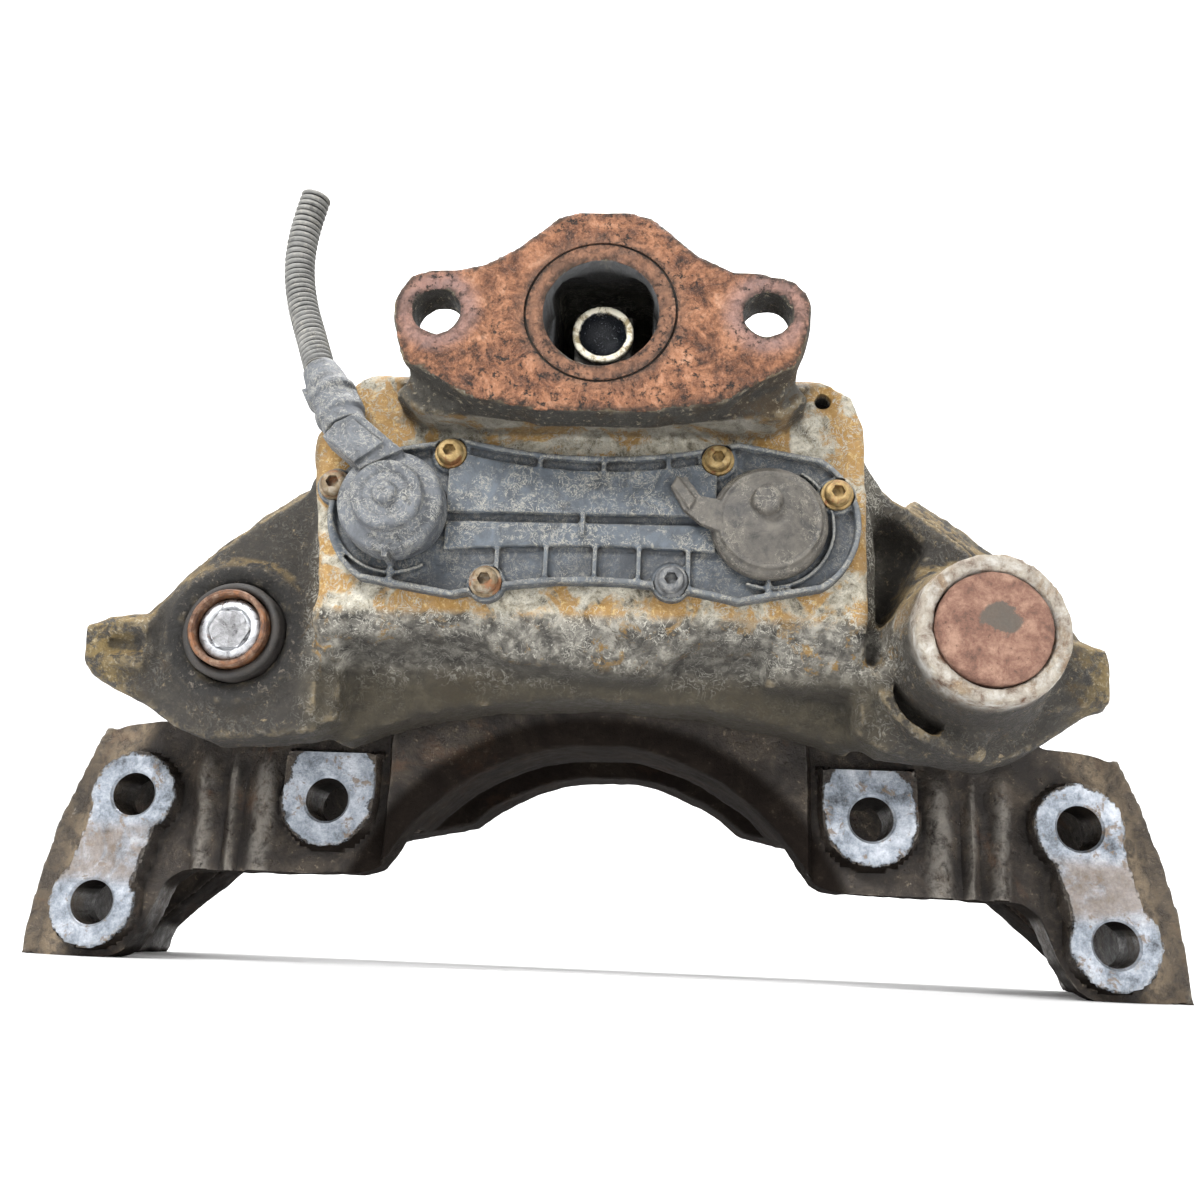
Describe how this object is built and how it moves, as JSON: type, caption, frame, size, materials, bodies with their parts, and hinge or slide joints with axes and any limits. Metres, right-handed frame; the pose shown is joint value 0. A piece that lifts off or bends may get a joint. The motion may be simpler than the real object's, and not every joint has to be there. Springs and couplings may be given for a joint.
{
  "type": "brake caliper",
  "caption": "Sliding air disc brake caliper on its arched carrier, with actuator flange, lever, coupled adjuster tappets, pads, guide pins and wear sensor conduit",
  "frame": {"origin": "middle of the footprint, on the plane that the ends of the carrier stand on", "axes": "+X along the disc's tangent, to the right seen from the actuator, +Y from the actuator to the wheel, along the wheel axis, +Z radially outwards, up"},
  "size_m": [0.4674, 0.267, 0.3061],
  "materials": {
    "cast_carrier": "dark cast iron, oily, rust-stained",
    "cast_housing": "weathered cast iron with rust and road film",
    "machined_steel": "machined bright steel, scuffed",
    "rusty_steel": "rusty turned steel",
    "plastic": "weathered grey plastic",
    "rubber": "aged black rubber",
    "zinc": "yellow zinc plating, worn",
    "brass": "plain bearing bronze",
    "steel": "oiled dark steel",
    "lining": "friction lining"
  },
  "bodies": {
    "carrier": {"carrier": "cast_carrier", "guide_sleeve_short": "rusty_steel", "guide_sleeve_long": "steel", "guide_bolt_short": "machined_steel", "guide_bolt_long": "machined_steel"},
    "lever": {"lever": "steel", "lever_roller": "machined_steel"},
    "bridge": {"bridge": "steel", "adjuster_chain": "steel", "return_spring": "steel"},
    "adjuster_drive": {"sprocket_right": "steel", "adjuster_unit": "brass"},
    "follower_drive": {"sprocket_left": "steel"},
    "tappet_left": {"tappet_left": "steel"},
    "tappet_right": {"tappet_right": "steel"},
    "tube_left": {"threaded_tube_left": "steel"},
    "tube_right": {"threaded_tube_right": "steel"},
    "inboard_pad": {"pad_backplate_inboard": "cast_carrier", "pad_lining_inboard": "lining", "pad_spring_inboard": "steel"},
    "outboard_pad": {"pad_backplate_outboard": "cast_carrier", "pad_lining_outboard": "lining", "pad_spring_outboard": "steel"},
    "caliper": {"caliper_housing": "cast_housing", "guide_cap": "rusty_steel", "adjuster_cover": "plastic", "adjuster_cap": "plastic", "wear_sensor_housing": "plastic", "connector_sleeve": "plastic", "sensor_conduit": "plastic", "guide_bush_rubber": "rubber", "guide_bellows_short": "rubber", "guide_bellows_long": "rubber", "cover_gasket": "rubber", "tappet_boot_left": "rubber", "tappet_boot_right": "rubber", "cover_screw_1": "zinc", "cover_screw_2": "zinc", "cover_screw_3": "zinc", "cover_screw_4": "zinc", "cover_screw_5": "zinc", "cover_screw_6": "zinc", "retainer_pin": "zinc", "guide_bush_front": "brass", "guide_bush_rear": "brass", "bearing_shell_left": "brass", "bearing_shell_right": "brass", "base_plate": "steel", "pad_retainer": "steel", "retainer_clip": "steel"}
  },
  "joints": [
    {"name": "caliper_slide", "type": "slide", "parent": "carrier", "child": "caliper", "axis": [0, 1, 0], "range_m": [-0.019, 0], "deforming": ["guide_bellows_short", "guide_bellows_long"]},
    {"name": "outboard_pad_slide", "type": "slide", "parent": "carrier", "child": "outboard_pad", "axis": [0, 1, 0], "range_m": [-0.019, 0]},
    {"name": "lever_swing", "type": "hinge", "parent": "caliper", "child": "lever", "pos_m": [0, -0.0617, 0.164], "axis": [-1, 0, 0], "range_deg": [0, 40.1], "stiffness_Nm_per_rad": 1.5, "springref_deg": -17.19},
    {"name": "bridge_slide", "type": "slide", "parent": "caliper", "child": "bridge", "axis": [0, 1, 0], "range_m": [0, 0.0035], "deforming": ["return_spring"]},
    {"name": "adjuster_spin", "type": "hinge", "parent": "bridge", "child": "adjuster_drive", "pos_m": [0.068, -0.0945, 0.164], "axis": [0, 1, 0], "range_deg": [0, 1441]},
    {"name": "follower_spin", "type": "hinge", "parent": "bridge", "child": "follower_drive", "pos_m": [-0.068, -0.0945, 0.164], "axis": [0, 1, 0], "range_deg": [0, 1441]},
    {"name": "tappet_right_slide", "type": "slide", "parent": "bridge", "child": "tappet_right", "axis": [0, 1, 0], "range_m": [0, 0.024], "deforming": ["tappet_boot_right"]},
    {"name": "tappet_left_slide", "type": "slide", "parent": "bridge", "child": "tappet_left", "axis": [0, 1, 0], "range_m": [0, 0.0241], "deforming": ["tappet_boot_left"]},
    {"name": "tube_right_spin", "type": "hinge", "parent": "tappet_right", "child": "tube_right", "pos_m": [0.068, -0.0585, 0.164], "axis": [0, 1, 0], "range_deg": [0, 1441]},
    {"name": "tube_left_spin", "type": "hinge", "parent": "tappet_left", "child": "tube_left", "pos_m": [-0.068, -0.0585, 0.164], "axis": [0, 1, 0], "range_deg": [0, 1441]},
    {"name": "inboard_pad_slide", "type": "slide", "parent": "carrier", "child": "inboard_pad", "axis": [0, 1, 0], "range_m": [0, 0.0241]}
  ],
  "couplings": [
    {"joint": "outboard_pad_slide", "follows": "caliper_slide", "ratio": 1},
    {"joint": "lever_swing", "follows": "bridge_slide", "rad_per_m": 199.47},
    {"joint": "tappet_left_slide", "follows": "tappet_right_slide", "ratio": 1},
    {"joint": "inboard_pad_slide", "follows": "tappet_right_slide", "ratio": 1},
    {"joint": "adjuster_spin", "follows": "tappet_right_slide", "rad_per_m": 1047.2},
    {"joint": "follower_spin", "follows": "tappet_right_slide", "rad_per_m": 1047.2},
    {"joint": "tube_right_spin", "follows": "tappet_right_slide", "rad_per_m": 1047.2},
    {"joint": "tube_left_spin", "follows": "tappet_right_slide", "rad_per_m": 1047.2}
  ]
}
